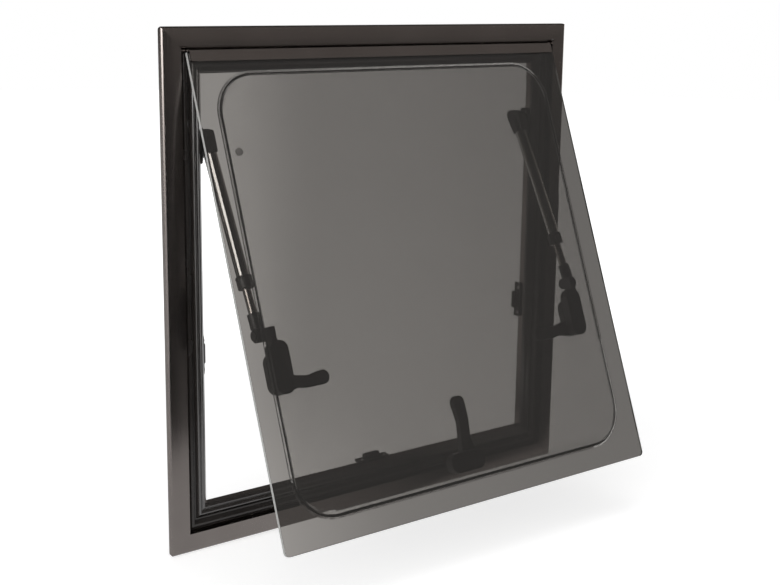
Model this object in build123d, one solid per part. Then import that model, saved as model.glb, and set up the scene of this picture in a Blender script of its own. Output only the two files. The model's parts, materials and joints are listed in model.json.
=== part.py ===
from build123d import *
import math
import os

# Top-hung caravan window: a mitred frame that sits on the outside of the wall, a double acrylic sash that
# hangs from the top rail, two telescopic stays and three turning latches.
# X runs along the window, Y into the vehicle, Z up; the origin is the middle of the bottom seating lip.
# Depths are measured back from the flange's front face, drops down from the frame's outer top edge.

# Frame extrusion
WIDTH = 530.0
HEIGHT = 540.0
FLANGE_WIDTH = 21.0
FLANGE_DEPTH = 7.0
FLANGE_WALL = 2.2
FLANGE_EDGE_RADIUS = 4.0
FLANGE_SLOPE_WIDTH = 11.0
FLANGE_SLOPE_DROP = 1.2
FLANGE_CROWN_RADIUS = 60.0
FRAME_CORNER_RADIUS = 3.5
LIP_WALL = 2.5
SEAT_RIB_INSET = 12.0
SEAT_RIB_WALL = 2.0
LEG_WALL = 2.0
LEG_DEPTH = 28.0
LEDGE_WIDTH = 25.0
LEDGE_DEPTH = 11.0
LEDGE_WALL = 2.0
GROOVE_OFFSET = 6.0
GROOVE_WIDTH = 1.6
GROOVE_DEPTH = 0.8
RETURN_DEPTH = 19.0

# Rubber seal on the ledge, beside the recess wall
SEAL_SIDE_GAP = 0.3
SEAL_WIDTH = 11.7
SEAL_BASE = 2.0
SEAL_LIP_OFFSET = 1.6
SEAL_LIP_WIDTH = 8.5
SEAL_CREST_RADIUS = 1.2
SEAL_CLEARANCE = 0.5

# Hinge along the top rail
HINGE_DROP = 19.5
HINGE_DEPTH = 4.6
BEAD_RADIUS = 2.6
BEAD_CLEARANCE = 0.3
EYE_WALL = 1.1
EYE_OPEN_FROM = 5.0
EYE_OPEN_TO = 103.0
NECK_ANGLE = 25.0
NECK_WALL = 1.4

# Sash
REST_ANGLE = 21.3
SASH_GAP = 5.0
PANE_DROP = 26.5
PANE_THICKNESS = 4.0
PANE_CORNER_RADIUS = 5.0
STRIP_WALL = 1.5
STRIP_HEIGHT = 9.5
STRIP_END_INSET = 2.0
STRIP_END_RADIUS = 1.5

# Formed inner sheet
TRAY_SIDE_MARGIN = 22.0
TRAY_TOP_MARGIN = 19.5
TRAY_CORNER_RADIUS = 45.0
TRAY_RIM = 2.5
TRAY_RIM_WALL = 1.5
TRAY_DEPTH = 9.5
TRAY_WALL = 2.0
TRAY_DRAFT = 30.0
PLUG_RADIUS = 4.0
PLUG_HEIGHT = 1.5
PLUG_INSET = 42.0
PLUG_DROP = 98.5

# Latches, placed from the clear edge of the frame
LATCH_DROP = 307.5
LATCH_EDGE_GAP = 12.5
LATCH_BASE_WIDTH = 20.5
LATCH_BASE_HEIGHT = 11.5
LATCH_BASE_BACK = 21.0
LATCH_CORNER_RADIUS = 9.5
LATCH_EDGE_RADIUS = 1.5
HUB_RADIUS = 10.25
HEEL_REACH = 21.5
BOTTOM_HEEL_REACH = 12.5
HEEL_RADIUS = 10.25
ARM_LENGTH = 50.0
BOTTOM_ARM_LENGTH = 61.0
ARM_RADIUS = 6.0
ARM_DIP = 2.2
ARM_TIP_RADIUS = 7.2
ARM_TIP_RISE = 1.7
LEVER_THICKNESS = 8.0
LEVER_GAP = 0.3
LEVER_EDGE_RADIUS = 1.6
PIVOT_RADIUS = 3.0
PIVOT_CLEARANCE = 0.05
CAP_RADIUS = 6.0
CAP_HEIGHT = 2.0

# Strikers on the frame
STRIKER_LENGTH = 42.0
STRIKER_PLATE = 2.5
STRIKER_NOSE_LENGTH = 20.0
STRIKER_NOSE_SETBACK = 3.0
STRIKER_REACH = 7.0
STRIKER_START_DEPTH = 14.5
STRIKER_LATCH_GAP = 0.8
STRIKER_LEAD = 3.0

# Telescopic stays
STAY_INSET = 11.5
FOOT_DROP = 278.5
FOOT_DEPTH = 27.2
HEAD_DROP = 113.0
HEAD_DEPTH = 20.5
POST_DROP = 117.84
POST_DEPTH = 23.84
POST_RADIUS = 2.0
HEAD_RADIUS = 10.0
HEAD_WALL = 1.5
HEAD_WIDTH = 10.5
HEAD_SHIFT = -0.75
HEAD_NECK = 16.0
HEAD_NECK_FLARE = 1.2
HEAD_FRONT_RADIUS = 4.0
HEAD_BACK_RADIUS = 6.0
TUBE_RADIUS = 6.5
TUBE_WALL = 1.0
TUBE_LENGTH = 136.0
TUBE_SOCKET = 12.0
COLLAR_RADIUS = 8.0
COLLAR_LENGTH = 13.0
COLLAR_OVERLAP = 7.0
ROD_RADIUS = 4.25
ROD_LENGTH = 142.0
ROD_CLEARANCE = 0.05
ROD_GUIDE_LENGTH = 8.0
SLEEVE_RADIUS = 6.2
SLEEVE_START = 7.0
SLEEVE_LENGTH = 15.0
SLEEVE_FLOOR = 3.0
EYE_RADIUS = 7.0
EYE_WIDTH = 9.0
FOOT_PIN_RADIUS = 2.5
FOOT_PIN_CAP_RADIUS = 5.0
FOOT_PIN_CAP = 1.5
FOOT_PIN_GAP = 0.4
LUG_WALL = 6.0
LUG_RADIUS = 6.0
BRACKET_WALL = 3.0
BRACKET_RADIUS = 10.0
BRACKET_LENGTH = 36.0
BRACKET_START_DEPTH = 12.0

# Places that follow from the sizes above
front = -FLANGE_DEPTH
bottom = -LIP_WALL / 2
top = bottom + HEIGHT
clear_inset = FLANGE_WIDTH + LEDGE_WIDTH
clear_half = WIDTH / 2 - clear_inset
clear_bottom = bottom + clear_inset
hinge_y = front + HINGE_DEPTH
hinge_z = top - HINGE_DROP
hinge_axis = Axis((0, hinge_y, hinge_z), (-1, 0, 0))
pane_width = WIDTH - 2 * (FLANGE_WIDTH + SASH_GAP)
pane_top = top - PANE_DROP
pane_bottom = bottom + FLANGE_WIDTH + SASH_GAP
pane_height = pane_top - pane_bottom
pane_back = front + PANE_THICKNESS
tray_face = pane_back + TRAY_DEPTH
latch_z = pane_top - LATCH_DROP
hub_inset = LATCH_EDGE_GAP + LATCH_BASE_WIDTH / 2
lever_start = PANE_THICKNESS + TRAY_DEPTH + LATCH_BASE_HEIGHT + LEVER_GAP
lever_end = lever_start + LEVER_THICKNESS
stay_x = clear_half - STAY_INSET


def export(shape, node):
    """Writes one finished piece as parts/NODE.step."""
    shape.label = node
    export_step(shape, f"parts/{node}.step")


def opened(shape):
    """Turns a sash piece, drawn in the closed pose, to its rest angle about the hinge."""
    return shape.rotate(hinge_axis, REST_ANGLE)


def mirrored(shape):
    """The right-hand twin of a left-hand piece."""
    return mirror(shape, about=Plane.YZ)


def section(points):
    """A closed section in the YZ plane from (depth, inset) points."""
    outline = Polyline(*[(front + depth, inset) for depth, inset in points], close=True)
    return Plane.YZ * make_face(outline)


def round_corner(face, depth, inset, radius):
    """Rounds the section's corner that lies at the given depth and inset."""
    corner = face.vertices().sort_by_distance((0, front + depth, inset))[0]
    return fillet(corner, radius)


def mitred(profile, length):
    """A length of the section along X, outer edge at Z 0, mitred at both ends and rounded at the corners."""
    bar = extrude(profile, length / 2, dir=(1, 0, 0), both=True)
    inner = length / 2 - 2 * clear_inset
    outline = Polyline(
        (-length / 2, 0),
        (length / 2, 0),
        (inner, 2 * clear_inset),
        (-inner, 2 * clear_inset),
        close=True,
    )
    rounded = Pos(0, length / 2) * RectangleRounded(length, length, FRAME_CORNER_RADIUS)
    wedge = extrude(Plane.XZ * (make_face(outline) & rounded), 2 * LEG_DEPTH, both=True)
    return bar & wedge


def rail_section():
    """Thin-walled extrusion: crowned and lipped flange, recess wall, grooved ledge, return, clamping leg."""
    rib_end = SEAT_RIB_INSET + SEAT_RIB_WALL
    leg = FLANGE_WIDTH - LEG_WALL
    back = LEDGE_DEPTH + LEDGE_WALL
    groove = clear_inset - GROOVE_OFFSET
    face = section([
        (FLANGE_DEPTH, 0),
        (FLANGE_SLOPE_DROP, 0),
        (0, FLANGE_SLOPE_WIDTH),
        (0, FLANGE_WIDTH),
        (LEDGE_DEPTH, FLANGE_WIDTH),
        (LEDGE_DEPTH, groove - GROOVE_WIDTH),
        (LEDGE_DEPTH + GROOVE_DEPTH, groove - GROOVE_WIDTH),
        (LEDGE_DEPTH + GROOVE_DEPTH, groove),
        (LEDGE_DEPTH, groove),
        (LEDGE_DEPTH, clear_inset),
        (RETURN_DEPTH, clear_inset),
        (RETURN_DEPTH, clear_inset - LEDGE_WALL),
        (back, clear_inset - LEDGE_WALL),
        (back, FLANGE_WIDTH),
        (LEG_DEPTH, FLANGE_WIDTH),
        (LEG_DEPTH, leg),
        (FLANGE_WALL, leg),
        (FLANGE_WALL, rib_end),
        (FLANGE_DEPTH, rib_end),
        (FLANGE_DEPTH, SEAT_RIB_INSET),
        (FLANGE_WALL, SEAT_RIB_INSET),
        (FLANGE_WALL + FLANGE_SLOPE_DROP, LIP_WALL),
        (FLANGE_DEPTH, LIP_WALL),
    ])
    face = round_corner(face, 0, FLANGE_SLOPE_WIDTH, FLANGE_CROWN_RADIUS)
    face = round_corner(face, FLANGE_SLOPE_DROP, 0, FLANGE_EDGE_RADIUS)
    return round_corner(face, FLANGE_WALL + FLANGE_SLOPE_DROP, LIP_WALL, FLANGE_EDGE_RADIUS - FLANGE_WALL)


def hinge_ray(angle, reach):
    """Section point at a distance from the hinge axis, the angle taken from straight down to the front."""
    turn = math.radians(angle)
    return (HINGE_DEPTH - reach * math.sin(turn), HINGE_DROP + reach * math.cos(turn))


def top_rail_section():
    """The rail section with a C-shaped hinge eye rolled into the flange's inner edge."""
    eye_bore = BEAD_RADIUS + BEAD_CLEARANCE
    centre = Plane.YZ * Pos(hinge_y, HINGE_DROP)
    mouth = section([
        (HINGE_DEPTH, HINGE_DROP),
        hinge_ray(EYE_OPEN_FROM, FLANGE_WIDTH),
        hinge_ray((EYE_OPEN_FROM + EYE_OPEN_TO) / 2, FLANGE_WIDTH),
        hinge_ray(EYE_OPEN_TO, FLANGE_WIDTH),
    ])
    return rail_section() + centre * Circle(eye_bore + EYE_WALL) - centre * Circle(eye_bore) - mouth


def seal_section():
    """Rubber section: a flat base and one broad sealing lip with a rounded crest."""
    start = FLANGE_WIDTH + SEAL_SIDE_GAP
    base = LEDGE_DEPTH - SEAL_BASE
    crest = PANE_THICKNESS + SEAL_CLEARANCE
    lip = start + SEAL_LIP_OFFSET
    lip_end = lip + SEAL_LIP_WIDTH
    crest_start = lip + SEAL_LIP_WIDTH / 3
    crest_end = lip_end - SEAL_LIP_WIDTH / 3
    face = section([
        (LEDGE_DEPTH, start),
        (base, start),
        (base, lip),
        (crest, crest_start),
        (crest, crest_end),
        (base, lip_end),
        (base, start + SEAL_WIDTH),
        (LEDGE_DEPTH, start + SEAL_WIDTH),
    ])
    face = round_corner(face, crest, crest_start, SEAL_CREST_RADIUS)
    return round_corner(face, crest, crest_end, SEAL_CREST_RADIUS)


def frame_sides(profile, top_profile):
    """The four mitred lengths of a section round the window, by side."""
    side = mitred(profile, HEIGHT)
    middle = (bottom + top) / 2
    return {
        "top": Pos(0, 0, top) * Rot(0, 180, 0) * mitred(top_profile, WIDTH),
        "bottom": Pos(0, 0, bottom) * mitred(profile, WIDTH),
        "left": Pos(-WIDTH / 2, 0, middle) * Rot(0, 90, 0) * side,
        "right": Pos(WIDTH / 2, 0, middle) * Rot(0, -90, 0) * side,
    }


def front_sheet(width, height, centre_z, start, radius):
    """A rounded rectangle that faces the window's front, at the given Y."""
    sheet = Plane((0, start, centre_z), x_dir=(1, 0, 0), z_dir=(0, 1, 0))
    return sheet * RectangleRounded(width, height, radius)


def outer_pane():
    """Flat tinted outer sheet."""
    middle = (pane_top + pane_bottom) / 2
    return extrude(front_sheet(pane_width, pane_height, middle, front, PANE_CORNER_RADIUS), PANE_THICKNESS)


def inner_tray():
    """Formed inner sheet: a bonded rim and a drafted pan that leaves an air gap behind the pane."""
    width = pane_width - 2 * TRAY_SIDE_MARGIN
    height = pane_height - TRAY_TOP_MARGIN - TRAY_SIDE_MARGIN
    middle = pane_bottom + TRAY_SIDE_MARGIN + height / 2
    hollow = 2 * (TRAY_RIM + TRAY_WALL / math.cos(math.radians(TRAY_DRAFT)))
    rim = front_sheet(width, height, middle, pane_back, TRAY_CORNER_RADIUS)
    pan = front_sheet(
        width - 2 * TRAY_RIM, height - 2 * TRAY_RIM, middle, pane_back, TRAY_CORNER_RADIUS - TRAY_RIM
    )
    cavity = front_sheet(
        width - hollow, height - hollow, middle, pane_back, TRAY_CORNER_RADIUS - hollow / 2
    )
    body = extrude(rim, TRAY_RIM_WALL) + extrude(pan, TRAY_DEPTH, taper=TRAY_DRAFT)
    return body - extrude(cavity, TRAY_DEPTH - TRAY_WALL, taper=TRAY_DRAFT)


def hinge_strip():
    """Angle strip bonded over the pane's top edge, with a round bead that hangs in the frame's hinge eye."""
    web = PANE_DROP - STRIP_WALL
    reach = (web - HINGE_DROP) / math.cos(math.radians(NECK_ANGLE))
    half = math.degrees(math.atan2(NECK_WALL / 2, reach))
    angle = section([
        (-STRIP_WALL, web),
        (PANE_THICKNESS, web),
        (PANE_THICKNESS, PANE_DROP),
        (0, PANE_DROP),
        (0, PANE_DROP + STRIP_HEIGHT),
        (-STRIP_WALL, PANE_DROP + STRIP_HEIGHT),
    ])
    neck = section([
        hinge_ray(NECK_ANGLE - 90, NECK_WALL / 2),
        hinge_ray(NECK_ANGLE + 90, NECK_WALL / 2),
        hinge_ray(NECK_ANGLE + half, reach + NECK_WALL / 2),
        hinge_ray(NECK_ANGLE - half, reach + NECK_WALL / 2),
    ])
    bead = Plane.YZ * Pos(hinge_y, HINGE_DROP) * Circle(BEAD_RADIUS)
    length = pane_width - 2 * STRIP_END_INSET
    strip = extrude(angle + neck + bead, length / 2, dir=(1, 0, 0), both=True)
    lower = strip.edges().filter_by(Axis.Y).group_by(Axis.Z)[-1]
    return Pos(0, 0, top) * Rot(0, 180, 0) * fillet(lower, STRIP_END_RADIUS)


def breather_plug():
    """Small round plug that closes the air gap's breather hole, on the tray's face."""
    place = (-pane_width / 2 + PLUG_INSET, tray_face, pane_top - PLUG_DROP)
    seat = Plane(place, x_dir=(1, 0, 0), z_dir=(0, 1, 0))
    plug = extrude(seat * Circle(PLUG_RADIUS), PLUG_HEIGHT)
    return chamfer(plug.edges().group_by(Axis.Y)[-1], PLUG_HEIGHT / 3)


def edge_plane(side):
    """Plane on the clear edge at a latch: x runs in from the edge, y along it, z back from the front."""
    if side == "bottom":
        return Plane((0, front, clear_bottom), x_dir=(0, 0, 1), z_dir=(0, 1, 0))
    return Plane((-clear_half, front, latch_z), x_dir=(1, 0, 0), z_dir=(0, 1, 0))


def heel_reach(side):
    """How far the lever's heel lies from its hub: the side levers have the longer limb."""
    return BOTTOM_HEEL_REACH if side == "bottom" else HEEL_REACH


def latch_base(side):
    """Latch block under the lever with its pivot post, and the stay's lug on the side latches."""
    seat = PANE_THICKNESS + TRAY_DEPTH
    end = heel_reach(side) + HEEL_RADIUS
    plan = Pos(hub_inset, (end - LATCH_BASE_BACK) / 2, seat)
    length = LATCH_BASE_BACK + end
    block = extrude(plan * RectangleRounded(LATCH_BASE_WIDTH, length, LATCH_CORNER_RADIUS), LATCH_BASE_HEIGHT)
    block = fillet(block.edges().group_by(Axis.Z)[-1], LATCH_EDGE_RADIUS)
    post_height = lever_end + LEVER_GAP - seat
    post = Pos(hub_inset, 0, seat) * extrude(Circle(PIVOT_RADIUS), post_height)
    base = block + post
    if side != "bottom":
        base += stay_lug(seat)
    return opened(edge_plane(side) * base)


def stay_lug(seat):
    """Upright lug beside the latch block with the pin that carries the stay's foot."""
    along = FOOT_DROP - LATCH_DROP
    inner = STAY_INSET + EYE_WIDTH / 2 + FOOT_PIN_GAP
    wall = Plane((inner, along, FOOT_DEPTH), x_dir=(0, 1, 0), z_dir=(1, 0, 0))
    stand = FOOT_DEPTH - seat
    bridge = LATCH_DROP - FOOT_DROP - LATCH_BASE_BACK + LATCH_CORNER_RADIUS
    outline = Circle(LUG_RADIUS) + Pos(0, -stand / 2) * Rectangle(2 * LUG_RADIUS, stand)
    outline += Pos(bridge / 2, LATCH_BASE_HEIGHT / 2 - stand) * Rectangle(bridge, LATCH_BASE_HEIGHT)
    pin = wall * extrude(Circle(FOOT_PIN_RADIUS), -EYE_WIDTH - 2 * FOOT_PIN_GAP)
    return wall * extrude(outline, LUG_WALL) + pin


def foot_pin_cap():
    """Round cap on the free end of the foot's pin."""
    along = FOOT_DROP - LATCH_DROP
    outer = STAY_INSET - EYE_WIDTH / 2 - FOOT_PIN_GAP
    seat = Plane((outer, along, FOOT_DEPTH), x_dir=(0, 1, 0), z_dir=(-1, 0, 0))
    return opened(edge_plane("left") * (seat * extrude(Circle(FOOT_PIN_CAP_RADIUS), FOOT_PIN_CAP)))


def latch_cap(side):
    """Cap that keeps the lever on its post."""
    seat = Pos(hub_inset, 0, lever_end + LEVER_GAP)
    cap = seat * extrude(Circle(CAP_RADIUS), CAP_HEIGHT)
    cap = fillet(cap.edges().group_by(Axis.Z)[-1], CAP_HEIGHT / 2)
    return opened(edge_plane(side) * cap)


def disc(inset, along, radius):
    """A circle of the lever's outline, in the latch plane."""
    return Pos(inset, along) * Circle(radius)


def latch_lever(side):
    """Dog-leg lever: a heel that turns out behind the striker and a comma-shaped grip that points inwards."""
    reach = heel_reach(side)
    length = BOTTOM_ARM_LENGTH if side == "bottom" else ARM_LENGTH
    sag = reach + ARM_DIP
    line = [
        disc(hub_inset, 0, HUB_RADIUS),
        disc(hub_inset, reach, HEEL_RADIUS),
        disc(hub_inset + length * 2 / 5, reach, ARM_RADIUS),
        disc(hub_inset + length * 2 / 3, sag, ARM_RADIUS),
        disc(hub_inset + length, sag - ARM_TIP_RISE, ARM_TIP_RADIUS),
    ]
    outline = Sketch() + [make_hull(a.edges() + b.edges()) for a, b in zip(line, line[1:])]
    lever = extrude(outline, LEVER_THICKNESS)
    lever = fillet(lever.edges().group_by(Axis.Z)[-1], LEVER_EDGE_RADIUS)
    bore = Pos(hub_inset, 0) * Cylinder(PIVOT_RADIUS + PIVOT_CLEARANCE, 4 * LEVER_THICKNESS)
    return opened(edge_plane(side) * (Pos(0, 0, lever_start) * (lever - bore)))


def striker(side):
    """Striker on the frame's return: a base plate and a nose that the lever's heel turns behind."""
    depth = lever_start - STRIKER_LATCH_GAP - STRIKER_START_DEPTH
    seat = (Align.MIN, Align.CENTER, Align.MIN)
    start = Pos(0, 0, STRIKER_START_DEPTH)
    plate = start * Box(STRIKER_PLATE, STRIKER_LENGTH, depth, align=seat)
    plate = fillet(plate.edges().filter_by(Axis.X).group_by(Axis.Z)[0], STRIKER_PLATE)
    nose_start = start * Pos(0, 0, STRIKER_NOSE_SETBACK)
    nose = nose_start * Box(STRIKER_REACH, STRIKER_NOSE_LENGTH, depth - STRIKER_NOSE_SETBACK, align=seat)
    lead = nose.edges().filter_by(Axis.Y).group_by(Axis.X)[-1].sort_by(Axis.Z)[0]
    return edge_plane(side) * (plate + chamfer(lead, STRIKER_LEAD))


def stay_plane():
    """Plane at the left stay's foot pin at rest, with z along the stay towards its head."""
    closed = Vertex(-stay_x, front + FOOT_DEPTH, pane_top - FOOT_DROP)
    foot = opened(closed).center()
    head = Vector(-stay_x, front + HEAD_DEPTH, top - HEAD_DROP)
    return Plane(foot, x_dir=(1, 0, 0), z_dir=head - foot), (head - foot).length


def round_bar(radius, start, end):
    """A round bar along the stay between two distances from the foot pin."""
    return Pos(0, 0, start) * extrude(Circle(radius), end - start)


def cross_bar(radius, start, end, along):
    """A round bar across the stay, along X, at a distance from the foot pin."""
    plane = Plane((start, 0, along), x_dir=(0, 1, 0), z_dir=(1, 0, 0))
    return plane * extrude(Circle(radius), end - start)


def head_block(lean, start, end, along):
    """Block round the head's cup, flat and level on top, its sides drawn in to the tube below.

    The lean is the stay's angle from upright, so that the top comes out level at rest.
    """
    neck = TUBE_RADIUS + HEAD_NECK_FLARE
    back_top = (HEAD_RADIUS, HEAD_RADIUS * (1 + math.sin(lean)) / math.cos(lean))
    front_top = (-HEAD_RADIUS, HEAD_RADIUS * (1 - math.sin(lean)) / math.cos(lean))
    outline = Polyline(
        (-neck, -HEAD_NECK),
        (neck, -HEAD_NECK),
        (HEAD_RADIUS, 0),
        back_top,
        front_top,
        (-HEAD_RADIUS, 0),
        close=True,
    )
    face = make_face(outline)
    face = fillet(face.vertices().sort_by_distance(back_top)[0], HEAD_BACK_RADIUS)
    face = fillet(face.vertices().sort_by_distance(front_top)[0], HEAD_FRONT_RADIUS)
    plane = Plane((start, 0, along), x_dir=(0, 1, 0), z_dir=(1, 0, 0))
    return plane * extrude(face, end - start)


def stay_pieces():
    """The pieces of the left stay, by name."""
    plane, length = stay_plane()
    lean = math.atan2(plane.z_dir.Y, plane.z_dir.Z)
    tube_top = length - HEAD_NECK
    tube_end = tube_top - TUBE_LENGTH
    collar_end = tube_end + COLLAR_OVERLAP - COLLAR_LENGTH
    bore = TUBE_RADIUS - TUBE_WALL
    cup_start = HEAD_SHIFT - HEAD_WIDTH / 2
    cup_end = HEAD_SHIFT + HEAD_WIDTH / 2

    head = head_block(lean, cup_start, cup_end, length)
    head += round_bar(TUBE_RADIUS, tube_top, length) + round_bar(bore, tube_top - TUBE_SOCKET, tube_top)
    head -= cross_bar(HEAD_RADIUS - HEAD_WALL, cup_start - HEAD_WIDTH, cup_end - HEAD_WALL, length)

    tube = round_bar(TUBE_RADIUS, tube_end, tube_top) - round_bar(bore, tube_end, tube_top)

    collar = round_bar(COLLAR_RADIUS, collar_end, collar_end + COLLAR_LENGTH)
    collar = fillet(collar.edges().filter_by(GeomType.CIRCLE), COLLAR_RADIUS - TUBE_RADIUS - TUBE_WALL / 2)
    collar -= round_bar(TUBE_RADIUS, tube_end, tube_top)
    collar -= round_bar(ROD_RADIUS + ROD_CLEARANCE, 0, tube_end)

    rod_start = SLEEVE_START + SLEEVE_FLOOR
    rod_end = rod_start + ROD_LENGTH
    rod = round_bar(ROD_RADIUS, rod_start, rod_end)
    rod += round_bar(bore - ROD_CLEARANCE, rod_end - ROD_GUIDE_LENGTH, rod_end)

    foot = cross_bar(EYE_RADIUS, -EYE_WIDTH / 2, EYE_WIDTH / 2, 0)
    foot += round_bar(ROD_RADIUS, 0, SLEEVE_START)
    foot += round_bar(SLEEVE_RADIUS, SLEEVE_START, SLEEVE_START + SLEEVE_LENGTH)
    foot -= round_bar(ROD_RADIUS, rod_start, rod_end)
    foot -= cross_bar(FOOT_PIN_RADIUS + PIVOT_CLEARANCE, -EYE_WIDTH, EYE_WIDTH, 0)

    pieces = {"head": head, "tube": tube, "collar": collar, "rod": rod, "foot": foot}
    return {name: plane * piece for name, piece in pieces.items()}


def stay_bracket():
    """Bracket on the frame's return: a rounded plate and the post that sits inside the stay's head."""
    seat = Plane((-clear_half, front, top - POST_DROP), x_dir=(0, 1, 0), z_dir=(1, 0, 0))
    pad_depth = POST_DEPTH - BRACKET_START_DEPTH
    pad = Pos(BRACKET_START_DEPTH + pad_depth / 2, 0) * Rectangle(pad_depth, BRACKET_LENGTH)
    pad = fillet(pad.vertices(), LIP_WALL)
    plate = extrude(pad + Pos(POST_DEPTH, 0) * Circle(BRACKET_RADIUS), BRACKET_WALL)
    reach = STAY_INSET + HEAD_SHIFT + HEAD_WIDTH / 2 - 2 * HEAD_WALL
    return seat * (plate + Pos(POST_DEPTH, 0) * extrude(Circle(POST_RADIUS), reach))


def pair(shape, name):
    """Writes a left-hand piece and its right-hand twin."""
    export(shape, f"{name}_left")
    export(mirrored(shape), f"{name}_right")


def main():
    os.makedirs("parts", exist_ok=True)
    for side, rail in frame_sides(rail_section(), top_rail_section()).items():
        kind = "rail" if side in ("top", "bottom") else "jamb"
        export(rail, f"frame_{side}_{kind}")
    for side, seal in frame_sides(seal_section(), seal_section()).items():
        export(seal, f"seal_{side}")
    export(opened(outer_pane()), "outer_pane")
    export(opened(inner_tray()), "inner_tray")
    export(opened(hinge_strip()), "hinge_strip")
    export(opened(breather_plug()), "breather_plug")
    for build, name in (
        (latch_base, "latch_base"),
        (latch_lever, "latch_lever"),
        (latch_cap, "latch_cap"),
        (striker, "striker"),
    ):
        pair(build("left"), name)
        export(build("bottom"), f"{name}_bottom")
    pair(foot_pin_cap(), "stay_pin_cap")
    pair(stay_bracket(), "stay_bracket")
    for name, piece in stay_pieces().items():
        pair(piece, f"stay_{name}")


main()
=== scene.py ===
"""Looks of a top-hung caravan window: finishes, small fittings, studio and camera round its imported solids."""

import json
import logging
import math
from dataclasses import dataclass
from enum import Enum

import bmesh
import bpy
from mathutils import Matrix, Vector

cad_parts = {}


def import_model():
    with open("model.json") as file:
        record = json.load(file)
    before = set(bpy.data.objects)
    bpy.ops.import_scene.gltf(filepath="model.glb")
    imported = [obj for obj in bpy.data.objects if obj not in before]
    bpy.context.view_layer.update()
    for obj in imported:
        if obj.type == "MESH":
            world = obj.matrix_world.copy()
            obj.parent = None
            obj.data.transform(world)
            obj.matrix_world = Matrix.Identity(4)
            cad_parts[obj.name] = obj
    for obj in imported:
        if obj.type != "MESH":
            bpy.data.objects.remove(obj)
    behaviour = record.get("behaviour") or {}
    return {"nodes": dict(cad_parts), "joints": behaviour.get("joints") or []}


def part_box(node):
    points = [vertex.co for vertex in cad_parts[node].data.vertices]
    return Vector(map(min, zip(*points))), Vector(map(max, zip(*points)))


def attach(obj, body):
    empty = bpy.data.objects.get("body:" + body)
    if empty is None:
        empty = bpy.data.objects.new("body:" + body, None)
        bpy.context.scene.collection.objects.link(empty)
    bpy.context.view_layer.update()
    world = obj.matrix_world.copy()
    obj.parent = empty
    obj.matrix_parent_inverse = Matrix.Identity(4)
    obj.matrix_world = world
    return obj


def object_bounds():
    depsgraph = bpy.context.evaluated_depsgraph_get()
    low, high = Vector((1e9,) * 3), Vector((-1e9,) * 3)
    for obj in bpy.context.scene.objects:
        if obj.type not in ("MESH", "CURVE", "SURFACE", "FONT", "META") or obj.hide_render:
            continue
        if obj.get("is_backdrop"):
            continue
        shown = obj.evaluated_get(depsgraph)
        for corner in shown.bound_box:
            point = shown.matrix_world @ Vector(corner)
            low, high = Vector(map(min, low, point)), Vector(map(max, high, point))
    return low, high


LOG = logging.getLogger("caravan_window")
MM = 0.001
WELD = 0.001 * MM
SMOOTH_ANGLE = math.radians(35.0)
STAY_TILT = math.radians(28.6)
LOOKS_UP = 0.9
NOISE_MIDDLE = (0.3, 0.7)
WHITE = (1.0, 1.0, 1.0)
BLACK = (0.0, 0.0, 0.0)
SIDES = ("left", "right")
LATCH_SIDES = ("left", "right", "bottom")

Colour = tuple[float, float, float]
Triple = tuple[float, float, float]
Span = tuple[float, float]
Socket = bpy.types.NodeSocket
Level = bpy.types.NodeSocket | float


class Run(Enum):
    """The direction that a piece was drawn or extruded in, as a turn of its streaks about X, Y and Z."""

    ALONG_X = (0.0, 0.0, 0.0)
    ALONG_Z = (0.0, math.pi / 2, 0.0)
    ALONG_STAY = (-STAY_TILT, math.pi / 2, 0.0)


class Facing(Enum):
    """The way that a fitting looks, as the turn that takes its own Z axis there."""

    INWARDS = Matrix.Rotation(-math.pi / 2, 4, "X")
    RIGHT = Matrix.Rotation(math.pi / 2, 4, "Y")
    LEFT = Matrix.Rotation(-math.pi / 2, 4, "Y")
    UP = Matrix.Identity(4)


class Slot(Enum):
    """Names of the record's material slots, listed beside the new pieces."""

    RUBBER = "rubber_seal"
    ACRYLIC = "tinted_acrylic"
    PLASTIC = "black_plastic"
    STEEL = "rod_metal"


class Rounding(Enum):
    """What a bevel rounds: the edges that it is given, or the corners of a flat outline."""

    EDGES = "EDGES"
    CORNERS = "VERTICES"


class Course(Enum):
    """How a level goes from one end of its span to the other."""

    EVEN = "LINEAR"
    SOFT = "SMOOTHSTEP"


class Sum(Enum):
    """What is done with two levels, by the Math node's own names."""

    PLUS = "ADD"
    LESS = "SUBTRACT"
    TIMES = "MULTIPLY"


class Way(Enum):
    """The directions along which the studio's light changes."""

    RIGHT = (1.0, 0.0, 0.0)
    BACK = (0.0, 1.0, 0.0)
    UP = (0.0, 0.0, 1.0)
    DOWN = (0.0, 0.0, -1.0)
    ACROSS = (-0.809, 0.588, 0.0)
    WINDOW = (-0.745, -0.497, 0.447)
    SUNLIT = (-0.94, -0.34, 0.0)
    FAR_SIDE = (0.92, 0.39, 0.0)


@dataclass(frozen=True)
class Grade:
    """A soft step between two levels, by how far a place or a direction lies along a way."""

    way: Way
    span: Span
    levels: Span = (0.0, 1.0)


def picked(made: dict[str, list], kind: type) -> list:
    """The vertices, edges or faces in an operator's result."""
    return [part for part in made["geom"] if isinstance(part, kind)]


def soften(
    mesh: bmesh.types.BMesh, parts: list, reach: float, steps: int, rounding: Rounding = Rounding.EDGES,
) -> None:
    """Rounds edges or corners.

    Args:
        mesh: the bmesh that they belong to.
        parts: the edges or vertices.
        reach: how far the rounding reaches from them.
        steps: the number of faces across it.
        rounding: which of the two they are.
    """
    bmesh.ops.bevel(
        mesh, geom=parts, offset=reach, affect=rounding.value, segments=steps, profile=0.5, material=-1,
    )


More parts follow.
